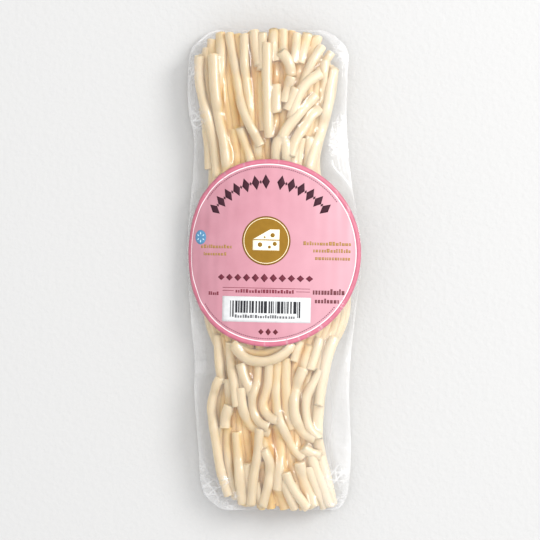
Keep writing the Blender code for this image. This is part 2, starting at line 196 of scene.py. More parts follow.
BELOW_LABEL = (
    (2, (221, 386), (219.5, 405), (220, 424)),
    (2, (247, 366), (247, 380), (247.5, 396), (249, 412)),
    (2, (272, 390), (271.5, 410), (271, 428)),
    (2, (248.5, 434), (249, 450), (247.5, 466), (246, 486)),
    (2, (268, 442), (272.5, 460), (275, 482)),
    (2, (288, 452), (292, 470), (297, 490)),
    (1, (304, 449), (308.5, 466), (313, 480), (319, 494)),
    (2, (297, 348), (299, 364), (300, 380)),
    (2, (226, 352), (226, 370), (228, 390)),
    (2, (314, 352), (309, 376), (303, 396), (300, 420)),
    (2, (262, 436), (265, 448), (268, 460)),
    (2, (261, 460), (261, 480), (259, 498)),
    (2, (264.5, 364), (263, 385), (258.5, 400), (258, 412), (262, 424)),
    (2, (240, 370), (241, 388), (243, 405)),
    (1, (239, 341), (247, 350), (258, 353.5), (270, 352), (281, 346.5), (289, 338)),
    (1, (218, 334), (218.5, 350), (219.5, 366), (222, 384)),
    (1, (219, 426), (219.5, 445), (220.8, 460), (223.5, 476), (229, 495)),
    (1, (227.5, 428), (227.5, 450), (228.8, 466), (232, 484), (236, 499)),
    (1, (315.5, 378), (313.5, 396), (310.5, 420), (311, 442)),
    (1, (322.5, 382), (320.5, 400), (318, 420), (317.5, 436), (320, 450), (325, 468), (330.5, 487),
     (335.5, 506)),
    (1, (310, 345), (305.5, 360), (303, 374)),
    (1, (327, 458), (331, 474), (335, 490), (338.5, 505)),
    (1, (309, 468), (315, 484), (320.5, 497), (325.5, 509)),
    (1, (292, 484), (298, 498), (304, 509.5)),
    (1, (276, 484), (281, 497), (286, 509.7)),
    (1, (256, 484), (259, 497), (261.3, 508.7)),
    (1, (282, 470), (284.5, 484), (289, 496), (295, 509)),
    (1, (247.5, 464), (247.5, 480), (247, 492), (247, 506.5)),
    (1, (268, 488), (270, 498), (271.3, 509.5)),
    (1, (326, 342), (322, 356), (318, 370)),
    (1, (229, 380), (230, 398), (231, 414)),
    (0, (219.4, 379), (212.5, 394), (211.6, 410), (213.7, 428), (217, 450), (221, 473), (228.5, 496)),
    (0, (229, 406), (225.8, 417), (225, 428)),
    (0, (286, 359), (286, 387), (287, 409), (290, 429)),
    (0, (277, 362), (275.8, 392), (278, 415), (285, 432.6), (294, 450), (303, 459)),
    (0, (269.5, 362), (267.8, 386), (263.4, 402), (265.6, 412), (271.5, 418.5), (278, 420)),
    (0, (240.5, 388), (241.5, 401), (244.9, 415), (253, 427.5), (268.5, 432.5)),
    (0, (240.5, 364), (243.5, 375), (248, 386), (250.5, 395)),
    (0, (258.5, 362), (257, 381), (252.2, 398), (253.5, 412), (259, 421.5), (268, 427)),
    (0, (230.8, 343), (231.5, 364), (234, 379), (235.5, 392), (236.8, 405.5)),
    (0, (303, 369), (296, 388), (293.8, 405), (296.4, 421), (303.3, 433), (315, 439)),
    (0, (300, 342), (296.5, 351), (293.8, 361)),
    (0, (321, 371), (312, 386), (306.8, 398), (306, 412), (308.5, 425), (314.5, 434), (322, 439)),
    (0, (319.5, 339), (315, 356), (310.3, 369)),
    (0, (334, 339), (329.5, 352), (325.5, 366), (322.5, 385), (321, 406)),
    (0, (236.5, 432.5), (238.5, 455), (240, 478), (243.2, 504.5)),
    (0, (260, 429), (257.5, 456), (254, 476), (251.2, 506)),
    (0, (264, 449.5), (269.6, 463), (268.8, 482), (262.5, 507)),
    (1, (277.5, 424), (280.3, 440), (280.3, 456), (278.6, 473), (277, 489.5)),
    (0, (303, 448), (311, 453.5), (321, 456.5)),
    (0, (312, 457), (317, 473), (324, 490), (330.8, 508)),
    (0, (286, 473), (291, 485), (298, 496), (307.5, 508.5)),
    (0, (299.8, 463), (302.5, 477), (308, 491), (314.5, 508)),
    (0, (234.5, 344.5), (239.5, 352.5), (247, 358.6), (258.5, 361.2), (271, 360), (283, 354), (293, 344.5)),
)
LOOP_SWELL = 1.15  # how much thicker the looped string under the label's edge is than the rest

LAYER_DEPTH = (0, 0.28, 0.6)  # how far each layer's strings lie under the front ones, in diameters
EDGE_SHARE = 0.88  # where across the bundle its front strings stop falling off to the sides
OVERHANG = 0.9 * MM  # how far a front string may reach past the bundle's section
SINK = 0.25  # how far a string may sink under its layer's level, in diameters
CLIMB = 0.42  # and how far it may climb over it
SOFT_CONTACT = 0.86  # how close two crossing strings press, as a share of their radii's sum
UNEVEN = 0.07  # how much the strings' thicknesses differ
SWELL = 1.05  # how much thicker the front strings are than those in the part's source
FRONT_HEIGHT = 0.018  # the height at which the front strings' pixels are read
FRONT_STEP = 1.1 * MM  # the distance between a front string's rings, and between those of the others
LONG_STEP = 1.8 * MM
NEAR_LABEL = 4 * MM  # how far outside the label's edge strings are still held down
LABEL_RISE = 1.5  # how steeply that hold eases, from 1 mm outside the edge
ROUND_STRANDS = 34
INSIDE_ROWS = ((0.95, 18), (1.8, 14))  # rows of strings inside: depth in diameters, how many
END_ROOM = 1.6 * MM  # between the long strings' ends and the film's, and how much further in they may end
END_SPREAD = (0.2, 5)  # in mm
CORE_INSET = 1.75  # how deep the core lies, in diameters
CORE_SHORT = 11 * MM  # and how far short of each end of the pack it stops
# A cut end's rings: their share of the string's width, and how many mm beyond its last point they lie
RIM = ((0.985, 0.10), (0.93, 0.19), (0.80, 0.23), (0.4, 0.22))
SLANT = 0.22  # how far a cut may slant
SEED = 7

# Film
FILM_PITCH = 0.46 * MM
BACK_PITCH = 0.8 * MM
FILM_CLEAR = 0.07 * MM
FILM_RADIUS = 2.2 * MM  # the tightest curve that the vacuum pulls the film into
OVER_PACK = 0.03  # heights from which the film looks for the strings
UNDER_PACK = -0.01
FRONT_ROUNDS = 260  # how often each film is smoothed
BACK_ROUNDS = 160
SHEET_WIDTH = 70 * MM  # what the grid's columns are counted over
CORNER = 3 * MM
HAZE = 0.055  # how cloudy the film is
PATCH_HAZE = 0.03  # what patches add in the skirt, and what its folded stretch adds
BAND_HAZE = 0.07
# Strips of painted light in the film, down the right below the label and at the left above it, which lift the
# shade beside the bundle:
# the middle in X, half the width, where in Y each starts and is full, and what it adds
PAINTED_LIGHT_STRIPS = (
    (22 * MM, 5.5 * MM, -22 * MM, -34 * MM, 0.14),
    (-33 * MM, 5 * MM, 42 * MM, 60 * MM, 0.12),
)
# The skirt's haze: partly the real cloudiness of two welded films, partly painted light that lifts the shade
# beside the bundle.
SKIRT_HAZE_AND_LIGHT = 0.13
HEM_HAZE = 0.10  # what the hem's weld lines add
HEM = 8 * MM  # how far in from the film's edge its welds reach
PAINTED_GLINT_HAZE = 0.6  # how white the painted glints along a crumple's folds are
CRUMPLE = 0.3 * MM  # the height of crumples, and where they are in pixels, with their sizes
CRUMPLED = (
    (211, 489, 13),
    (226, 478, 5),
    (235, 493, 4),
    (199, 470, 9),
    (189, 74, 8),
    (196, 121, 10),
    (202, 38, 9),
    (343, 52, 11),
    (337, 145, 10),
    (343, 120, 7),
    (335, 475, 10),
    (340, 505, 10),
    (230, 506, 8),
)
CRUMPLE_RIDGES = ((0.4, 800), (1.5, 1000), (2.5, 900))  # directions in radians, and how close the ridges are
CREASES = ((0.3, 260, 1.0), (1.25, 330, 0.8), (2.2, 210, 0.9), (2.8, 420, 0.6))  # likewise, then how strong
BAND = (-42.3 * MM, -36.6 * MM)  # a folded stretch of the left skirt
BAND_FOLD = 0.3 * MM
FILM_SHINE = (0.08, 0.28)  # how much of the light the film reflects: seen straight on, and at its most
GLINT_SHARE = 0.45  # how much of the film's shine is sharp
FOLD = 0.16 * MM  # the height of the little folds in the free film
WELD = 0.05 * MM  # half the distance between the two films where they are welded
EDGE_ROOM = 0.25 * MM
# How strong the hem's weld lines are at shares of its width, both ends first
HEM_STOPS = ((0, 1), (1, 0), (0.10, 0.9), (0.14, 0.1), (0.24, 0.1), (0.27, 0.75), (0.31, 0.05), (0.45, 0.05),
             (0.48, 0.5), (0.52, 0))

# Light
OVERHEAD = 1.5  # the surround's brightness straight up
HORIZON = 0.8  # and at the horizon
KEY_PLACE = (0.70, 0.32, 0.70)
KEY_SIZE = 0.45
KEY_POWER = 6.3
KEY_COLOUR = (1.0, 0.99, 0.97)
FLOOR_SIZE = 3


def seen(px, py, height):
    """The place in metres that the photograph's camera sees at a pixel, at a height over the surface."""
    scale = PIXEL * (CAMERA_HEIGHT - height) / (CAMERA_HEIGHT - SHARP_HEIGHT)
    return CAMERA_X + (px - PHOTO_SIDE / 2) * scale, (PHOTO_SIDE / 2 - py) * scale


def along(table, y):
    """The columns of a table at places along Y in metres, as smooth curves through its rows, in metres."""
    rows = np.array(table, float)[::-1] * MM
    knots, values = rows[:, 0], rows[:, 1:]
    y = np.clip(y, knots[0], knots[-1])
    slopes = np.empty_like(values)
    slopes[1:-1] = (values[2:] - values[:-2]) / (knots[2:] - knots[:-2])[:, None]
    slopes[0] = (values[1] - values[0]) / (knots[1] - knots[0])
    slopes[-1] = (values[-1] - values[-2]) / (knots[-1] - knots[-2])
    i = np.clip(np.searchsorted(knots, y, side="right") - 1, 0, len(knots) - 2)
    span = knots[i + 1] - knots[i]
    t = ((y - knots[i]) / span)[..., None]
    span = span[..., None]
    found = (
        (2 * t**3 - 3 * t**2 + 1) * values[i]
        + (t**3 - 2 * t**2 + t) * span * slopes[i]
        + (3 * t**2 - 2 * t**3) * values[i + 1]
        + (t**3 - t**2) * span * slopes[i + 1]
    )
    return np.moveaxis(found, -1, 0)


def section(y):
    """The bundle's middle in X, its half width, its height and the level of its sides, at y."""
    left, right, height = along(BUNDLE, y)
    return (left + right) / 2, (right - left) / 2, height, SIDE_LEVEL * height


def crown(x, y, inset):
    """The height of the bundle's front at x and y, taken in by inset all round."""
    middle, half, height, side = section(y)
    across = np.minimum(np.abs(x - middle) / (half - inset), 1)
    return side + (height - side - inset) * (1 - across**SQUARENESS) ** (1 / SQUARENESS)


def on_section(y, angle, inset):
    """Points at an angle round the bundle's section, taken in by inset."""
    middle, half, height, side = section(y)
    power = 2 / SQUARENESS
    over = np.sign(np.cos(angle)) * np.abs(np.cos(angle)) ** power
    up = np.abs(np.sin(angle)) ** power
    above = side + (height - side - inset) * up
    below = side - (side * BELLY - inset) * up
    z = np.where(np.sin(angle) > 0, above, below)
    return np.stack([middle + (half - inset) * over, y, np.maximum(z, inset * 0.9)], axis=-1)


def depth_inside(points):
    """How deep points lie under the bundle's front, sides or back, in strand diameters."""
    middle, half, height, side = section(points[:, 1])
    up = np.where(points[:, 2] > side, height - side, side * BELLY)
    reach = (np.abs(points[:, 0] - middle) / half) ** SQUARENESS
    reach += (np.abs(points[:, 2] - side) / up) ** SQUARENESS
    share = reach ** (1 / SQUARENESS)
    deep = (1 - share) * np.minimum(half, up)
    return np.minimum(deep, points[:, 2]) / STRAND_D


def ripple(u, v):
    """The label's unevenness from the strings under it, stronger away from its middle."""
    strength = RIPPLE * np.clip((np.hypot(u, v) - RIPPLE_FROM) / RIPPLE_GROWTH, 0, 1)
    return strength * (np.sin(2 * math.pi * u / RIPPLE_LENGTH + 25 * v) + np.sin(u * 900 - v * 120)) / 2


def label_place(u, v, lift):
    """The point over the label at u across and v along it, as cut flat, and lift above its face."""
    bend = np.where(u < 0, LABEL_BEND_LEFT, LABEL_BEND_RIGHT)
    slope = u / bend
    top = lift - PRINT_ROOM + ripple(u, v) - RIPPLE
    x = (bend + top) * np.sin(slope)
    z = LABEL_TOP - bend + (bend + top) * np.cos(slope) - LABEL_DROOP * (2 * v / LABEL_D) ** 2
    turn_x = x * math.cos(LABEL_TURN) - v * math.sin(LABEL_TURN)
    turn_y = x * math.sin(LABEL_TURN) + v * math.cos(LABEL_TURN)
    return np.stack([LABEL_X + turn_x, LABEL_Y + turn_y, z + 0 * turn_x], axis=-1)


def under_label(x, y):
    """The height of the label's back over x and y, and how far inside its edge that is, both in metres."""
    x, y = x - LABEL_X, y - LABEL_Y
    across = x * math.cos(LABEL_TURN) + y * math.sin(LABEL_TURN)
    v = -x * math.sin(LABEL_TURN) + y * math.cos(LABEL_TURN)
    bend = np.where(across < 0, LABEL_BEND_LEFT, LABEL_BEND_RIGHT)
    sine = np.clip(across / bend, -0.999, 0.999)
    u = bend * np.arcsin(sine)
    z = LABEL_TOP - bend * (1 - np.sqrt(1 - sine**2)) - LABEL_DROOP * (2 * v / LABEL_D) ** 2
    thick = PRINT_ROOM + PAPER + 2 * RIPPLE
    return z - thick / np.sqrt(1 - sine**2), LABEL_D / 2 - np.hypot(u, v)


def resampled(points, step):
    """Evenly spaced points on a smooth curve through the given ones."""
    points = np.array(points, float)
    padded = np.vstack([2 * points[0] - points[1], points, 2 * points[-1] - points[-2]])
    dense = []
    for before, low, high, after in zip(padded, padded[1:], padded[2:], padded[3:]):
        for t in np.linspace(0, 1, 12, endpoint=False):
            place = 2 * low + (high - before) * t
            place += (2 * before - 5 * low + 4 * high - after) * t**2
            place += (3 * low - before - 3 * high + after) * t**3
            dense.append(0.5 * place)
    dense = np.array(dense + [points[-1]])
    run = np.concatenate([[0], np.cumsum(np.linalg.norm(np.diff(dense, axis=0), axis=1))])
    places = np.linspace(0, run[-1], max(4, round(run[-1] / step) + 1))
    return np.stack([np.interp(places, run, dense[:, k]) for k in range(dense.shape[1])], axis=1)


def smoothed(values, reach):
    """Values along a string, smoothed over a number of points each way, its ends held."""
    kernel = np.exp(-np.linspace(-2, 2, 2 * reach + 1) ** 2)
    padded = np.pad(values, reach, mode="edge")
    return np.convolve(padded, kernel / kernel.sum(), mode="valid")


def kept_under_label(points, radius):
    """The points lowered to where a string of this radius clears the label's back, also just outside it."""
    back, inside = under_label(points[:, 0], points[:, 1])
    ceiling = back - FILM_CLEAR * 2 - radius + np.clip(-inside - MM, 0, 1) * LABEL_RISE
    points[:, 2] = np.where(inside > -NEAR_LABEL, np.minimum(points[:, 2], ceiling), points[:, 2])
    return points


def front_strings():
    """The strings that show on the front, as (points, radius), each settled on the deeper ones it crosses."""
    draw = random.Random(SEED)
    settled_points, settled_radii, strings = np.empty((0, 3)), np.empty(0), []
    rows = sorted(ABOVE_LABEL + BELOW_LABEL, key=lambda row: -row[0])
    for row in rows:
        layer, swell = row[0], LOOP_SWELL if row is BELOW_LABEL[-1] else SWELL
        flat = resampled([seen(px, py, FRONT_HEIGHT) for px, py in row[1:]], FRONT_STEP)
        radius = STRAND_D / 2 * swell * draw.uniform(1 - UNEVEN, 1 + UNEVEN)
        middle, half, _, _ = section(flat[:, 1])
        x = np.clip(flat[:, 0], middle - half + radius - OVERHANG, middle + half - radius + OVERHANG)
        inner = middle + np.clip(x - middle, -EDGE_SHARE * (half - radius), EDGE_SHARE * (half - radius))
        level = crown(inner, flat[:, 1], radius) - LAYER_DEPTH[layer] * STRAND_D
        apart = np.hypot(x[:, None] - settled_points[:, 0], flat[:, 1][:, None] - settled_points[:, 1])
        reach = SOFT_CONTACT * (radius + settled_radii)[None, :]
        carried = settled_points[:, 2] + np.sqrt(np.maximum(reach**2 - apart**2, 0))
        carried = np.where(apart < reach, carried, -1).max(axis=1, initial=-1)
        z = np.clip(carried, level - SINK * STRAND_D, level + CLIMB * STRAND_D)
        z = smoothed(z, 4)
        points = kept_under_label(np.stack([x, flat[:, 1], z], axis=1), radius)
        strings.append((points, radius))
        settled_points = np.vstack([settled_points, points])
        settled_radii = np.append(settled_radii, np.full(len(points), radius))
    return strings


def string_ends(x, draw):
    """Where a string that runs the bundle's length ends at its top and bottom, at x across."""
    ends = []
    for sign in (1, -1):
        middle = section(np.array(sign * PACK_LENGTH / 2))[0]
        inwards = END_ROUND / MM * (x - middle) ** 2
        ends.append(sign * (PACK_LENGTH / 2 - END_ROOM - inwards - draw.uniform(*END_SPREAD) * MM))
    return ends


def running_string(place, draw, angle, inset):
    """A string along the bundle that keeps its angle and depth but for a slow wander."""
    radius = STRAND_D / 2 * draw.uniform(1 - UNEVEN, 1 + UNEVEN)
    top, bottom = string_ends(place[0], draw)
    y = np.linspace(top, bottom, round((top - bottom) / LONG_STEP))
    sway, phase, pace = draw.uniform(0.02, 0.06), draw.uniform(0, 6.28), draw.uniform(35, 75)
    turned = angle + sway * np.sin(phase + y * pace)
    lift = 0.25 * MM * np.sin(phase * 2 + y * pace * 1.7)
    points = on_section(y, turned, inset + radius - STRAND_D / 2 + np.abs(lift))
    return kept_under_label(points, radius), radius


def round_strings():
    """Strings on the bundle's sides and back, where they show, and one layer down on its front."""
    draw = random.Random(SEED + 1)
    strings = []
    for k in range(ROUND_STRANDS):
        angle = 2 * math.pi * (k + 0.5 + draw.uniform(-0.2, 0.2)) / ROUND_STRANDS
        buried = min(max((math.sin(angle) - 0.15) / 0.35, 0), 1)
        inset = STRAND_D * (0.5 + 0.65 * buried + draw.uniform(0, 0.15))
        place = on_section(np.array(0.0), angle, inset)
        strings.append(running_string(place, draw, angle, inset))
    return strings


def inside_strings():
    """Rows of strings inside the bundle, which fill the gaps between those outside and show at its ends."""
    draw = random.Random(SEED + 2)
    strings = []
    for depth, count in INSIDE_ROWS:
        for k in range(count):
            angle = 2 * math.pi * (k + draw.uniform(-0.15, 0.15)) / count
            inset = STRAND_D * (0.5 + depth)
            place = on_section(np.array(0.0), angle, inset)
            strings.append(running_string(place, draw, angle, inset))
    return strings


def tube_rings(points, radius, sides, draw):
    """Rings of points round a string: uneven in section, with rounded rims round its two cut faces."""
    tangents = np.gradient(points, axis=0)
    tangents /= np.linalg.norm(tangents, axis=1)[:, None]
    side = np.cross(tangents, (0, 0, 1))
    side /= np.linalg.norm(side, axis=1)[:, None]
    up = np.cross(side, tangents)
    around = 2 * math.pi * np.arange(sides) / sides
    lobe, lobe_phase = draw.uniform(0.03, 0.09), draw.uniform(0, 6.28)
    twist = np.linspace(0, draw.uniform(-3, 3) * len(points) * 0.02, len(points))
    run = np.arange(len(points))
    swell = 1 + 0.035 * np.sin(run * draw.uniform(0.12, 0.3) + lobe_phase) + 0.02 * np.sin(run * 0.75 + twist)
    shape = 1 + lobe * np.cos(2 * around[None, :] + lobe_phase + twist[:, None])
    shape += 0.5 * lobe * np.cos(3 * around[None, :] - twist[:, None] * 1.7)
    size = radius * swell[:, None] * shape
    body = points[:, None, :] + size[..., None] * (
        np.cos(around)[None, :, None] * side[:, None, :] + np.sin(around)[None, :, None] * up[:, None, :]
    )
    rings = list(body)
    tilts = [draw.uniform(-SLANT, SLANT) for _ in range(2)]
    for end, sign in ((0, -1), (-1, 1)):
        slant = tilts[end] * np.cos(around + lobe_phase)[:, None] * radius * tangents[end] * sign
        for share, out in RIM:
            centre = points[end] + tangents[end] * sign * out * MM
            ring = centre + (body[end] - points[end]) * share + slant * share
            if sign < 0:
                rings.insert(0, ring)
            else:
                rings.append(ring)
    return np.array(rings)


def add_string(work, rings, layers):
    """Adds a string's rings to a bmesh, with U round it, V along it in string widths."""
    sides = rings.shape[1]
    vertices = [[work.verts.new(point) for point in ring] for ring in rings.tolist()]
    gaps = np.linalg.norm(np.diff(rings.mean(axis=1), axis=0), axis=1)
    run = np.concatenate([[0], np.cumsum(gaps)]) / STRAND_D
    for i in range(len(vertices) - 1):
        for k in range(sides):
            n = (k + 1) % sides
            face = work.faces.new((vertices[i][k], vertices[i][n], vertices[i + 1][n], vertices[i + 1][k]))
            corners = ((k, i), (k + 1, i), (k + 1, i + 1), (k, i + 1))
            for loop, (around, place) in zip(face.loops, corners):
                loop[layers].uv = (around / sides, run[place])
    work.faces.new(vertices[0][::-1])
    work.faces.new(vertices[-1])


def as_object(name, work):
    """A smooth-shaded object that holds a finished bmesh."""
    mesh = bpy.data.meshes.new(name)
    work.to_mesh(mesh)
    work.free()
    mesh.shade_smooth()
    obj = bpy.data.objects.new(name, mesh)
    bpy.context.scene.collection.objects.link(obj)
    return obj


def with_depth(obj):
    """Stores how deep each point lies in the bundle, for the material's painted shade."""
    count = len(obj.data.vertices)
    points = np.empty(count * 3, np.float32)
    obj.data.vertices.foreach_get("co", points)
    attribute = obj.data.attributes.new("depth", "FLOAT", "POINT")
    depth = depth_inside(points.reshape(-1, 3).astype(float))
    attribute.data.foreach_set("value", depth.astype(np.float32))
    return obj


def strings_object(name, strings, sides, seed):
    """Many strings as one mesh. None reaches under the surface: the lowest are pressed flat on it."""
    draw = random.Random(seed)
    work = bmesh.new()
    layers = work.loops.layers.uv.new("along")
    for points, radius in strings:
        rings = tube_rings(points, radius, sides, draw)
        rings[..., 2] = np.maximum(rings[..., 2], 2 * FILM_CLEAR)
        add_string(work, rings, layers)
    return with_depth(as_object(name, work))


def core():
    """The mass of pressed cheese in the bundle's middle, under its outer strings."""
    sides, stations, reach = 48, 60, PACK_LENGTH / 2 - CORE_SHORT
    work = bmesh.new()
    layers = work.loops.layers.uv.new("along")
    rings = []
    angle = 2 * math.pi * np.arange(sides) / sides
    for y in np.linspace(reach, -reach, stations):
        lumps = 0.35 * MM * np.sin(14 * angle + 60 * y)
        rings.append(on_section(np.full(sides, y), angle, CORE_INSET * STRAND_D + lumps))
    add_string(work, np.array(rings), layers)
    bmesh.ops.recalc_face_normals(work, faces=work.faces)
    return with_depth(as_object("cheese_core", work))


def skirt_height(x, y):
    """The height of the film's skirt, as in the part's source, with the small creases of real film."""
    left, right = along(SKIRT, y)
    across = np.abs(x - (left + right) / 2) / ((right - left) / 2)
    out = np.maximum(np.maximum(across - 0.6, np.abs(y) / (PACK_LENGTH / 2) - 0.6), 0) / 0.4
    out = np.minimum(out, 1)
    wave = SKIRT_WAVE * np.sin(y * 150 + np.copysign(2, x)) * out
    return SKIRT_INNER_Z + (SKIRT_OUTER_Z - SKIRT_INNER_Z) * out + wave


def film_grid(pitch):
    """Rows of places over the pack, from its bottom end up, that follow the film's outline."""
    reach = PACK_LENGTH / 2 - EDGE_ROOM
    y = np.linspace(-reach, reach, round(2 * reach / pitch))
    left, right = along(SKIRT, y)
    into = np.clip(np.abs(y) - (reach - CORNER), 0, CORNER)
    narrow = EDGE_ROOM + CORNER - np.sqrt(CORNER**2 - into**2 + 1e-12)
    share = np.linspace(0, 1, round(SHEET_WIDTH / pitch))
    x = (left + narrow)[:, None] * (1 - share) + (right - narrow)[:, None] * share
    return x, np.repeat(y[:, None], len(share), axis=1)


def from_edge(x, y):
    """How far places are from the film's edge, as a share of the hem."""
    left, right = along(SKIRT, y)
    side = np.minimum(x - left, right - x)
    near = np.minimum(side, PACK_LENGTH / 2 - np.abs(y))
    strays = 0.5 * MM * np.sin(y * 61 + 1) + 0.35 * MM * np.sin(x * 170 + y * 133)
    return np.clip((near + strays * np.clip(near / (2 * MM), 0, 1)) / HEM, 0, 1)


def ridges(x, y, turn, pace, sway, sway_pace, phase):
    """Sharp ridges across one direction, which sway as they run."""
    run = x * math.cos(turn) + y * math.sin(turn)
    bend = sway * np.sin(sway_pace * (x * math.sin(turn) - y * math.cos(turn)) + phase)
    return 1 - np.abs(np.sin(run * pace + bend))


def crumples(x, y):
    """The film's small crumpled places: their height in metres, and painted glints as white lines along their
    folds.
    """
    height, painted_glints, where = np.zeros_like(x), np.zeros_like(x), np.zeros_like(x)
    for turn, pace in CRUMPLE_RIDGES:
        ridge = ridges(x, y, turn, pace, 1.5, 230, 0)
        height += CRUMPLE * ridge
        painted_glints = np.maximum(painted_glints, ridge**3)
    for px, py, size in CRUMPLED:
        middle_x, middle_y = seen(px, py, SKIRT_OUTER_Z)
        apart = np.hypot(x - middle_x, y - middle_y) / (size * PIXEL)
        where = np.maximum(where, np.exp(-(apart**2)))
    where *= np.clip(from_edge(x, y) * 6, 0, 1)
    return height * where, painted_glints * where


def band(x, y):
    """Where the folded stretch of the left skirt is, from 0 to 1."""
    low, high = BAND
    inside = np.clip((y - low) / (0.5 * MM), 0, 1) * np.clip((high - y) / (0.5 * MM), 0, 1)
    return inside * (x < CAMERA_X)


def cloudiness_and_painted_light(x, y, height, weld):
    """How cloudy the film is, with painted light added: more in the skirt, partly as painted light, in
    patches, and in strips of painted light that lift the shade beside the bundle.
    """
    skirt = np.clip(1.5 - (height - weld) / (1.5 * MM), 0, 1)
    # Painted light: strips of whiteness that lift the shade beside the bundle.
    painted_light = np.zeros_like(x)
    for middle, half, start, full, amount in PAINTED_LIGHT_STRIPS:
        across = np.clip(1 - np.abs(x - middle) / half, 0, 1)
        painted_light += amount * across * np.clip((y - start) / (full - start), 0, 1)
    patches = 0.5 + 0.5 * np.sin(x * 260 + 2 * np.sin(y * 90)) * np.sin(y * 120 + 3 * np.sin(x * 70))
    return HAZE + painted_light + skirt * (SKIRT_HAZE_AND_LIGHT - HAZE + PATCH_HAZE * patches + BAND_HAZE * band(x, y))


def creases(x, y):
    """Sharp little folds in the film, as a sum of ridges that run in several directions."""
    total = np.zeros_like(x)
    for turn, pace, strength in CREASES:
        total += strength * ridges(x, y, turn, pace, 1.2, 70, 3 * turn) ** 3
    return total


def relaxed(height, floor, fixed, dip, rounds):
    """A film stretched over a floor: smooth between the places that it touches, and pulled in by dip."""
    for _ in range(rounds):
        near = np.empty_like(height)
        near[1:-1, 1:-1] = (
            height[:-2, 1:-1] + height[2:, 1:-1] + height[1:-1, :-2] + height[1:-1, 2:]
        ) / 4
        near[0], near[-1], near[:, 0], near[:, -1] = height[0], height[-1], height[:, 0], height[:, -1]
        height = np.where(fixed, height, np.maximum(near - dip, floor))
    return height


def hits(tree, x, y, start, down):
    """The heights at which vertical rays from start meet the tree, or NaN."""
    direction = Vector((0, 0, -1 if down else 1))
    found = np.full(x.shape, np.nan)
    for place in np.ndindex(x.shape):
        met = tree.ray_cast(Vector((x[place], y[place], start)), direction)[0]
        if met is not None:
            found[place] = met.z
    return found


def rim_of(grid):
    """Which places of a grid are its outermost."""
    rim = np.zeros(grid.shape, bool)
    rim[[0, -1], :] = rim[:, [0, -1]] = True
    return rim


def film_front(tree):
    """The front film: it clings to the strings, dips between them, and meets the back in the skirt."""
    x, y = film_grid(FILM_PITCH)
    weld = skirt_height(x, y)
    met = hits(tree, x, y, OVER_PACK, True)
    floor = np.maximum(np.nan_to_num(met, nan=0) + FILM_CLEAR, weld + WELD)
    back, inside = under_label(x, y)
    held = inside > 0
    floor = np.where(held, np.maximum(back - FILM_CLEAR, weld + WELD), floor)
    rim = rim_of(x)
    height = np.where(rim, weld + WELD, floor)
    dip = FILM_PITCH**2 / (4 * FILM_RADIUS)
    height = relaxed(height, floor, held | rim, dip, FRONT_ROUNDS)
    free = np.clip((height - floor) / (0.3 * MM), 0, 1) + (floor <= weld + WELD * 1.01)
    folds = creases(x, y) * FOLD * np.clip(free, 0, 1)
    folds += BAND_FOLD * band(x, y) * (floor <= weld + 2 * WELD)
    crumpled, painted_glints = crumples(x, y)
    folds += crumpled
    height = np.where(held | rim, height, height + folds)
    # Painted glints: white lines along the crumples' folds are added to the haze.
    haze_and_painted_light = cloudiness_and_painted_light(x, y, height, weld) + PAINTED_GLINT_HAZE * painted_glints
    return grid_object("film_front", x, y, height, haze_and_painted_light, False)


def film_back(tree):
    """The film under the back, which is pressed flat where the pack rests."""
    x, y = film_grid(BACK_PITCH)
    weld = skirt_height(x, y)
    met = hits(tree, x, y, UNDER_PACK, False)
    ceiling = np.minimum(np.nan_to_num(met, nan=1) - FILM_CLEAR, weld - WELD)
    ceiling = np.maximum(ceiling, FILM_CLEAR)
    rim = rim_of(x)
    height = np.where(rim, weld - WELD, ceiling)
    dip = BACK_PITCH**2 / (4 * FILM_RADIUS)
    height = -relaxed(-height, -ceiling, rim, dip, BACK_ROUNDS)
    height = np.maximum(height, 0.02 * MM)
    return grid_object("film_back", x, y, height, cloudiness_and_painted_light(x, y, weld, height), True)


def grid_object(name, x, y, z, haze_and_painted_light, flipped):
    """A sheet through a grid of points, which stores how near the edge it is, and its cloudiness together
    with painted light.
    """
    work = bmesh.new()
    rows = [[work.verts.new(point) for point in line] for line in np.stack([x, y, z], axis=-1).tolist()]
    for low, high in zip(rows, rows[1:]):
        for k in range(len(low) - 1):
            corners = (low[k], low[k + 1], high[k + 1], high[k])
            work.faces.new(corners[::-1] if flipped else corners)
    obj = as_object(name, work)
    for kind, values in (("edge", from_edge(x, y)), ("haze_and_painted_light", haze_and_painted_light)):
        attribute = obj.data.attributes.new(kind, "FLOAT", "POINT")
        attribute.data.foreach_set("value", values.ravel().astype(np.float32))
    return obj


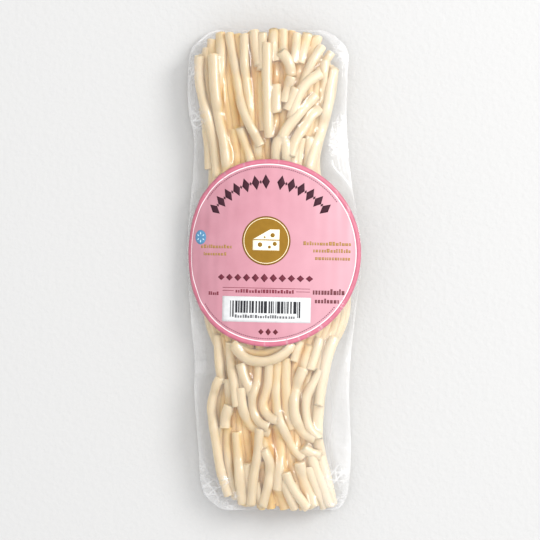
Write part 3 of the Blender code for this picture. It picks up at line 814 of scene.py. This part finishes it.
def label_sheet():
    """The paper label: its face, its back and its edge."""
    work = bmesh.new()
    angle = 2 * math.pi * np.arange(LABEL_SPOKES) / LABEL_SPOKES
    radius = LABEL_D / 2 * np.concatenate([[0.004], np.arange(1, LABEL_RINGS + 1) / LABEL_RINGS])[:, None]
    sheets = []
    for lift in (0, -PAPER):
        points = label_place(radius * np.cos(angle), radius * np.sin(angle), lift)
        sheets.append([[work.verts.new(p) for p in ring] for ring in points.tolist()])
    place = work.loops.layers.uv.new("flat")
    for side, sheet in enumerate(sheets):
        for inner, outer in zip(sheet, sheet[1:]):
            for k in range(LABEL_SPOKES):
                n = (k + 1) % LABEL_SPOKES
                corners = (inner[k], outer[k], outer[n], inner[n])
                work.faces.new(corners[::-1] if side else corners)
        work.faces.new(sheet[0][::-1] if side else sheet[0])
    face, back = sheets[0][-1], sheets[1][-1]
    for k in range(LABEL_SPOKES):
        n = (k + 1) % LABEL_SPOKES
        work.faces.new((face[k], back[k], back[n], face[n]))
    flat = {}
    for sheet in sheets:
        for ring, size in zip(sheet, radius[:, 0]):
            for vertex, turn in zip(ring, angle):
                flat[vertex] = (size * math.cos(turn) / MM, size * math.sin(turn) / MM)
    for polygon in work.faces:
        for loop in polygon.loops:
            loop[place].uv = flat[loop.vert]
    return as_object("label_paper", work)


def patch(corners):
    """A grid of flat places that fills a four-cornered shape, corners in mm."""
    a, b, c, d = (np.array(corner, float) for corner in corners)
    wide = max(1, math.ceil(max(np.linalg.norm(b - a), np.linalg.norm(c - d)) / CELL))
    high = max(1, math.ceil(max(np.linalg.norm(d - a), np.linalg.norm(c - b)) / CELL))
    s = np.linspace(0, 1, wide + 1)[None, :, None]
    t = np.linspace(0, 1, high + 1)[:, None, None]
    return (a * (1 - s) + b * s) * (1 - t) + (d * (1 - s) + c * s) * t


def box_patch(left, low, right, high):
    return patch(((left, low), (right, low), (right, high), (left, high)))


def ring_patch(middle, inner, outer, start=0, end=360):
    """A stretch of a ring, in mm, between two angles in degrees, measured clockwise from the top."""
    steps = max(4, math.ceil(math.radians(end - start) * outer / ROUND_STEP))
    wide = max(1, math.ceil((outer - inner) / CELL))
    angle = np.radians(np.linspace(start, end, steps + 1))[None, :]
    radius = np.linspace(inner, outer, wide + 1)[:, None]
    return np.stack([middle[0] + radius * np.sin(angle), middle[1] + radius * np.cos(angle)], axis=-1)


def diamond(middle, wide, high, turn=0):
    """A lozenge about a place, in mm, turned clockwise by an angle in degrees."""
    turn = math.radians(turn)
    corners = []
    for x, y in ((0, high / 2), (wide / 2, 0), (0, -high / 2), (-wide / 2, 0)):
        across = middle[0] + x * math.cos(turn) + y * math.sin(turn)
        up = middle[1] - x * math.sin(turn) + y * math.cos(turn)
        corners.append((across, up))
    return patch(corners)


def diamonds_round(middle, out, turns, wide, high):
    """Lozenges round a middle, out from it at angles in degrees from the top."""
    found = []
    for turn in np.radians(turns):
        place = (middle[0] + out * math.sin(turn), middle[1] + out * math.cos(turn))
        found.append(diamond(place, wide, high, math.degrees(turn)))
    return found


def printed(name, patches, lift):
    """Patches of one ink, laid on the label's face."""
    work = bmesh.new()
    for grid in patches:
        points = label_place(grid[..., 0] * MM, grid[..., 1] * MM, lift)
        rows = [[work.verts.new(p) for p in line] for line in points.tolist()]
        for low, high in zip(rows, rows[1:]):
            for k in range(len(low) - 1):
                work.faces.new((low[k], low[k + 1], high[k + 1], high[k]))
    bmesh.ops.remove_doubles(work, verts=work.verts, dist=0.02 * MM)
    for face in work.faces:
        face.normal_update()
        if face.normal.z < 0:
            face.normal_flip()
    obj = as_object(name, work)
    ink = obj.modifiers.new("ink", "SOLIDIFY")
    ink.thickness = 0.6 * INK
    ink.offset = -1
    return obj


def dashes(left, right, low, high, draw, shortest, longest):
    """A line of small unreadable marks."""
    marks, x = [], left
    while x < right - 0.3:
        wide = min(draw.uniform(shortest, longest), right - x)
        top = high if draw.random() < TALL_MARKS else low + (high - low) * LOW_MARK
        marks.append(box_patch(x, low, x + wide, top))
        x += wide + draw.uniform(*MARK_GAP)
    return marks


def bars(left, right, low, high, draw):
    """Upright bars of one to four units, with gaps of one or two, as on any scanned goods."""
    unit = (right - left) / CODE_UNITS
    marks, x = [], left
    while x < right - unit:
        wide = unit * draw.choice((1, 2, 2, 3, 4))
        foot = low - CODE_FOOT if x < left + 4 * unit or x > right - 6 * unit else low
        marks.append(box_patch(x, foot, min(x + wide, right), high))
        x += wide + unit * draw.choice((1, 1, 1, 2))
    return marks


def title_marks():
    """Two groups of lozenges on an arc, with small ones between them."""
    middle = (0, -TITLE_DROP)
    large = np.concatenate([np.linspace(-52, -3, 7), np.linspace(9, 50, 6)])
    small = np.concatenate([np.linspace(-47.9, -7.1, 6), np.linspace(13.1, 45.9, 5)])
    marks = diamonds_round(middle, TITLE_ARC, large, 3.2, 5.9)
    return marks + diamonds_round(middle, TITLE_ARC, small, 0.9, 1.6)


def line_marks(draw):
    """The ruled lines and the lines of small marks, by the ink that they are in."""
    rules = [
        box_patch(-18.7, -14.15, 16.9, -13.95),
        box_patch(-18.7, -15.35, -13.8, -15.15),
        box_patch(11.4, -15.35, 16.9, -15.15),
    ]
    rules += dashes(-13, 10.8, -16.0, -14.6, draw, 0.4, 1.0)
    rules += dashes(-25.2, -20.2, -17.2, -15.8, draw, 0.4, 0.9)
    right = dashes(18.1, 31.2, -16.2, -13.9, draw, 0.6, 1.2)
    right += dashes(19, 28.6, -19.6, -17.7, draw, 0.6, 1.1)
    gold = dashes(-29.6, -15, 1.5, 2.9, draw, 0.5, 1.2)
    gold += dashes(-28.2, -17.4, -1.4, -0.1, draw, 0.5, 1.2)
    for start, end, low in ((13.9, 33.2, 3.4), (17.9, 33.2, 0.6), (18.7, 32.8, -2.4)):
        gold += dashes(start, end, low, low + 1.5, draw, 0.5, 1.2)
    return rules, right, gold


def label_print():
    """The label's print, in generic shapes: (name, patches, lift in inks, colour, roughness)."""
    draw = random.Random(SEED + 3)
    middle = (0, 0)
    dots = np.concatenate([np.arange(-52, 52, 1.5), np.arange(128, 232, 1.5)])
    small_marks = [ring_patch(middle, 33.9, 34.3, start, start + 0.8) for start in dots]
    ornament = [diamond((-1.4 + 3.6 * k, -10), 3.0, 3.5 - 0.2 * abs(k)) for k in range(-5, 6)]
    weight = [diamond((0.6 + 2.9 * k, -31.4), 2.2, 2.9 - 0.6 * abs(k)) for k in (-1, 0, 1)]
    rules, right_marks, gold_marks = line_marks(draw)
    wedge = [box_patch(-6.3, 1.0, 4.3, 4.9), patch(((-6.3, 5.3), (4.3, 5.3), (4.3, 9.3), (0.6, 9.3)))]
    holes = ((-3.4, 3.2, 1.0), (0.4, 2.3, 0.7), (2.5, 3.6, 0.9), (1.6, 7.0, 0.95), (-1.6, 6.2, 0.5))
    holes = [ring_patch((x, y), 0, size) for x, y, size in holes]
    flakes = diamonds_round(BADGE, FLAKE_OUT, np.arange(0, 360, 60), 0.6, 1.3)
    return (
        ("print_rim", [ring_patch(middle, 35.3, 37.2)], 0.5, (0.50, 0.135, 0.20), 0.42),
        ("print_white_ring", [ring_patch(middle, 35.0, 35.4)], 1, (0.92, 0.80, 0.82), 0.45),
        ("print_small_marks", small_marks, 1, (0.16, 0.04, 0.07), 0.5),
        ("print_title", title_marks(), 1, (0.045, 0.012, 0.022), 0.5),
        ("print_gold_disc", [ring_patch(ROSETTE, 0, 9.7)], 1, GOLD, 0.38),
        ("print_gold_edge", [ring_patch(ROSETTE, 9.45, 9.75)], 1.5, (0.15, 0.07, 0.01), 0.4),
        ("print_cream_ring", [ring_patch(ROSETTE, 8.85, 9.1)], 1.5, (0.93, 0.80, 0.55), 0.45),
        ("print_wedge", wedge, 1.5, (0.95, 0.86, 0.66), 0.45),
        ("print_holes", holes, 2, GOLD, 0.4),
        ("print_ornament", ornament, 1, (0.13, 0.022, 0.038), 0.5),
        ("print_rules", rules, 1, (0.20, 0.035, 0.055), 0.5),
        ("print_right_marks", right_marks, 1, (0.16, 0.05, 0.06), 0.5),
        ("print_weight", weight, 1, (0.12, 0.02, 0.03), 0.5),
        ("print_gold_marks", gold_marks, 1, (0.38, 0.205, 0.06), 0.45),
        ("print_badge", [ring_patch(BADGE, 0, 2.9)], 1, (0.08, 0.24, 0.42), 0.45),
        ("print_badge_flakes", flakes, 1.5, (0.55, 0.78, 0.90), 0.45),
        ("print_code_field", [box_patch(-18.7, -27.6, 17.4, -17.5)], 1, (0.62, 0.63, 0.64), 0.5),
        ("print_code_marks", dashes(-13.2, 11, -26.0, -24.7, draw, 0.5, 0.9), 1.5, (0.12, 0.12, 0.13), 0.5),
        ("print_code_bars", bars(-15.2, 13.2, -24.0, -19.2, draw), 1.5, (0.02, 0.02, 0.025), 0.5),
    )


class Shading:
    """A new material, with short ways to add its nodes."""

    def __init__(self, name):
        self.material = bpy.data.materials.new(name)
        self.material.use_nodes = True
        self.tree = self.material.node_tree
        self.tree.nodes.clear()

    def add(self, kind, inputs=None, **settings):
        """A node with its settings, and its inputs set to values or linked to other nodes' outputs."""
        node = self.tree.nodes.new("ShaderNode" + kind)
        for name, value in settings.items():
            setattr(node, name, value)
        for name, value in (inputs or {}).items():
            if isinstance(value, bpy.types.NodeSocket):
                self.tree.links.new(value, node.inputs[name])
            else:
                node.inputs[name].default_value = value
        return node

    def place(self):
        return self.add("TexCoord").outputs["Object"]

    def uv(self, name):
        return self.add("UVMap", uv_map=name).outputs["UV"]

    def stored(self, name):
        """What the mesh stores at its points under a name."""
        return self.add("Attribute", attribute_name=name).outputs["Fac"]

    def across(self, vector):
        return self.add("SeparateXYZ", {"Vector": vector}).outputs["X"]

    def noise(self, vector, scale, detail):
        return self.add("TexNoise", {"Vector": vector, "Scale": scale, "Detail": detail}).outputs["Fac"]

    def ranged(self, value, start, end, low=0.0, high=1.0):
        """A value's run from start to end, turned into one from low to high."""
        limits = {"From Min": start, "From Max": end, "To Min": low, "To Max": high}
        return self.add("MapRange", {"Value": value, **limits}).outputs["Result"]

    def ramp(self, value, stops):
        """A colour ramp on a value: stops are (place, colour), the two outermost first."""
        node = self.add("ValToRGB", {"Fac": value})
        elements = node.color_ramp.elements
        for element, (place, colour) in zip(elements, stops):
            element.position, element.color = place, (*colour, 1)
        for place, colour in stops[2:]:
            elements.new(place).color = (*colour, 1)
        return node.outputs["Color"]

    def mixed(self, share, first, second, blend="MIX"):
        """Two colours mixed; the second may be a plain one."""
        second = (*second, 1) if isinstance(second, tuple) else second
        inputs = {"Fac": share, "Color1": first, "Color2": second}
        return self.add("MixRGB", inputs, blend_type=blend).outputs["Color"]

    def maths(self, operation, *values):
        return self.add("Math", dict(enumerate(values)), operation=operation).outputs["Value"]

    def bumped(self, height, strength, distance, **under):
        """A normal tilted by a height's slopes, over another one where Normal is given."""
        inputs = {"Height": height, "Strength": strength, "Distance": distance, **under}
        return self.add("Bump", inputs).outputs["Normal"]

    def shader(self, kind, inputs):
        return self.add("Bsdf" + kind, inputs).outputs["BSDF"]

    def blended(self, share, first, second):
        """Two shaders mixed."""
        return self.add("MixShader", {"Fac": share, 1: first, 2: second}).outputs["Shader"]

    def finished(self, surface):
        """The material, with its surface linked."""
        self.add("OutputMaterial", {"Surface": surface})
        return self.material


def cheese_material():
    """Pale cheese: cream outside, with painted golden shade deep between strings, and fine fibres along each
    string.

    The strings at the right are painted paler than those at the left, as painted light from the right.
    """
    tree = Shading("string_cheese")
    # Painted shade: deeper points are painted darker and more golden, standing in for the shade and warm
    # light between strings.
    deep = tree.ranged(tree.stored("depth"), 0.12, 1.1)
    painted_gap_shade = ((0.0, (0.685, 0.54, 0.33)), (1.0, (0.78, 0.43, 0.08)), (0.35, (0.74, 0.505, 0.185)))
    stretched = tree.add("Mapping", {"Scale": (26, 0.9, 1), "Vector": tree.uv("along")})
    fibres = tree.noise(stretched.outputs["Vector"], 1.0, 3)
    place = tree.place()
    shade = tree.mixed(0.10, tree.ramp(deep, painted_gap_shade), fibres, "MULTIPLY")
    fade = tree.ranged(tree.noise(place, 160, 2), 0.45, 0.8, 0, 0.35)
    milk = tree.mixed(fade, shade, (0.70, 0.575, 0.40))
    # Painted light: the strings grow paler towards the right, where the light falls.
    side = tree.ranged(tree.across(place), -0.002, 0.022, 0, 0.5)
    surface = {
        "Base Color": tree.mixed(side, milk, (0.90, 0.79, 0.61)),
        "Normal": tree.bumped(fibres, 0.35, 0.12 * MM),
        "Roughness": 0.5,
        "Subsurface Weight": 0.5,
        "Subsurface Radius": (0.55, 0.75, 1.0),
        "Subsurface Scale": 1.8 * MM,
    }
    return tree.finished(tree.shader("Principled", surface))


def film_material():
    """Clear film: it lets nearly all light through, and shines at its folds."""
    tree = Shading("clear_film")
    hem = tree.ramp(tree.stored("edge"), [(place, (grey,) * 3) for place, grey in HEM_STOPS])
    place = tree.place()
    broken = tree.ranged(tree.noise(place, 55, 1), 0.4, 0.62, 0.1)
    weld = tree.maths("MULTIPLY", hem, broken)
    # The stored haze holds the film's cloudiness together with its painted light and painted glints.
    cloud_and_painted_light = tree.maths("MULTIPLY_ADD", weld, HEM_HAZE, tree.stored("haze_and_painted_light"))
    clear = tree.shader("Transparent", {"Color": (1, 1, 1, 1)})
    haze_and_painted_light = tree.shader("Diffuse", {"Color": (0.87, 0.87, 0.88, 1)})
    crinkle = tree.bumped(tree.noise(place, 340, 3), 0.25, 0.2 * MM)
    ridge = tree.bumped(weld, 0.5, 0.25 * MM, Normal=crinkle)
    sheen = tree.shader("Glossy", {"Roughness": 0.38})
    glint = tree.shader("Glossy", {"Roughness": 0.1, "Normal": ridge})
    shine = tree.ranged(tree.add("Fresnel", {"IOR": 1.45}).outputs["Fac"], 0.034, 0.5, *FILM_SHINE)
    gloss = tree.blended(GLINT_SHARE, sheen, glint)
    return tree.finished(tree.blended(shine, tree.blended(cloud_and_painted_light, clear, haze_and_painted_light), gloss))


def paper_material():
    """Pink coated paper, a little mottled, and paler towards its right as a painted sheen."""
    tree = Shading("label_paper")
    flat = tree.uv("flat")
    colour = tree.ramp(tree.noise(flat, 0.09, 3), ((0.3, (0.48, 0.185, 0.24)), (0.72, (0.54, 0.23, 0.29))))
    # Painted sheen: the paper is paler towards the right, where the light falls on it.
    side = tree.ranged(tree.across(flat), 0, 30, 0, 0.6)
    surface = {
        "Base Color": tree.mixed(side, colour, (0.62, 0.34, 0.395)),
        "Normal": tree.bumped(tree.noise(flat, 3.2, 3), 0.08, 0.05 * MM),
        "Roughness": 0.42,
        "Coat Weight": 1.0,
        "Coat Roughness": 0.24,
    }
    return tree.finished(tree.shader("Principled", surface))


def ink_material(name, colour, roughness, shine):
    """An ink: its colour varies slightly, as print on uneven paper does."""
    tree = Shading(name)
    paler = tuple(min(c * 1.12 + 0.002, 1) for c in colour)
    tint = tree.ramp(tree.noise(tree.place(), 420, 2), ((0.35, colour), (0.75, paler)))
    surface = {"Base Color": tint, "Roughness": roughness, "Specular IOR Level": shine}
    return tree.finished(tree.shader("Principled", surface))


def floor_material():
    """A plain white surface with a faint grain."""
    tree = Shading("floor")
    grain = tree.bumped(tree.noise(tree.place(), 420, 4), 0.5, 0.6 * MM)
    surface = {"Base Color": (0.54, 0.54, 0.54, 1), "Roughness": 0.8, "Normal": grain}
    return tree.finished(tree.shader("Principled", surface))


def dressed(obj, material):
    """Gives a piece its material and its place on the part."""
    obj.data.materials.clear()
    obj.data.materials.append(material)
    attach(obj, "root")
    return obj


def key_light():
    """A soft light from the upper right, which faces the pack."""
    light = bpy.data.lights.new("key", "AREA")
    light.shape = "DISK"
    light.size = KEY_SIZE
    light.energy = KEY_POWER
    light.color = KEY_COLOUR
    obj = bpy.data.objects.new("key", light)
    obj.location = KEY_PLACE
    obj.rotation_euler = (-Vector(KEY_PLACE)).to_track_quat("-Z", "Y").to_euler()
    bpy.context.scene.collection.objects.link(obj)


def camera_and_lights():
    scene = bpy.context.scene
    camera = bpy.data.cameras.new("camera")
    camera.sensor_width = SENSOR
    camera.lens = SENSOR * (CAMERA_HEIGHT - SHARP_HEIGHT) / (PHOTO_SIDE * PIXEL)
    holder = bpy.data.objects.new("camera", camera)
    holder.location = (CAMERA_X, 0, CAMERA_HEIGHT)
    scene.collection.objects.link(holder)
    scene.camera = holder
    scene.view_settings.view_transform = "Standard"
    world = bpy.data.worlds.new("studio")
    world.use_nodes = True
    nodes, links = world.node_tree.nodes, world.node_tree.links
    place = nodes.new("ShaderNodeTexCoord")
    split = nodes.new("ShaderNodeSeparateXYZ")
    links.new(place.outputs["Generated"], split.inputs["Vector"])
    rise = nodes.new("ShaderNodeMapRange")
    rise.inputs["To Min"].default_value = HORIZON
    rise.inputs["To Max"].default_value = OVERHEAD
    links.new(split.outputs["Z"], rise.inputs["Value"])
    nodes["Background"].inputs["Color"].default_value = (1, 1, 1, 1)
    links.new(rise.outputs["Result"], nodes["Background"].inputs["Strength"])
    scene.world = world
    key_light()


def floor():
    bpy.ops.mesh.primitive_plane_add(size=FLOOR_SIZE)
    plane = bpy.context.object
    plane.name = "floor"
    plane.data.materials.append(floor_material())


def main():
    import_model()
    camera_and_lights()
    floor()
    cheese, film = cheese_material(), film_material()
    front = strings_object("strings_front", front_strings(), 14, SEED)
    around = strings_object("strings_round", round_strings(), 12, SEED + 4)
    inside = strings_object("strings_inside", inside_strings(), 10, SEED + 5)
    pieces = [front, around, inside, core()]
    work = bmesh.new()
    for piece in pieces:
        work.from_mesh(piece.data)
    tree = BVHTree.FromBMesh(work)
    work.free()
    for piece in pieces:
        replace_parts(dressed(piece, cheese), "filled_bag")
    for piece in (film_front(tree), film_back(tree)):
        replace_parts(dressed(piece, film), "filled_bag")
    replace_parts(dressed(label_sheet(), paper_material()), "label")
    for name, patches, lift, colour, roughness in label_print():
        ink = printed(name, patches, lift * INK)
        shine = DARK_SHINE if max(colour) < 0.3 else PALE_SHINE
        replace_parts(dressed(ink, ink_material(name, colour, roughness, shine)), "label")


main()
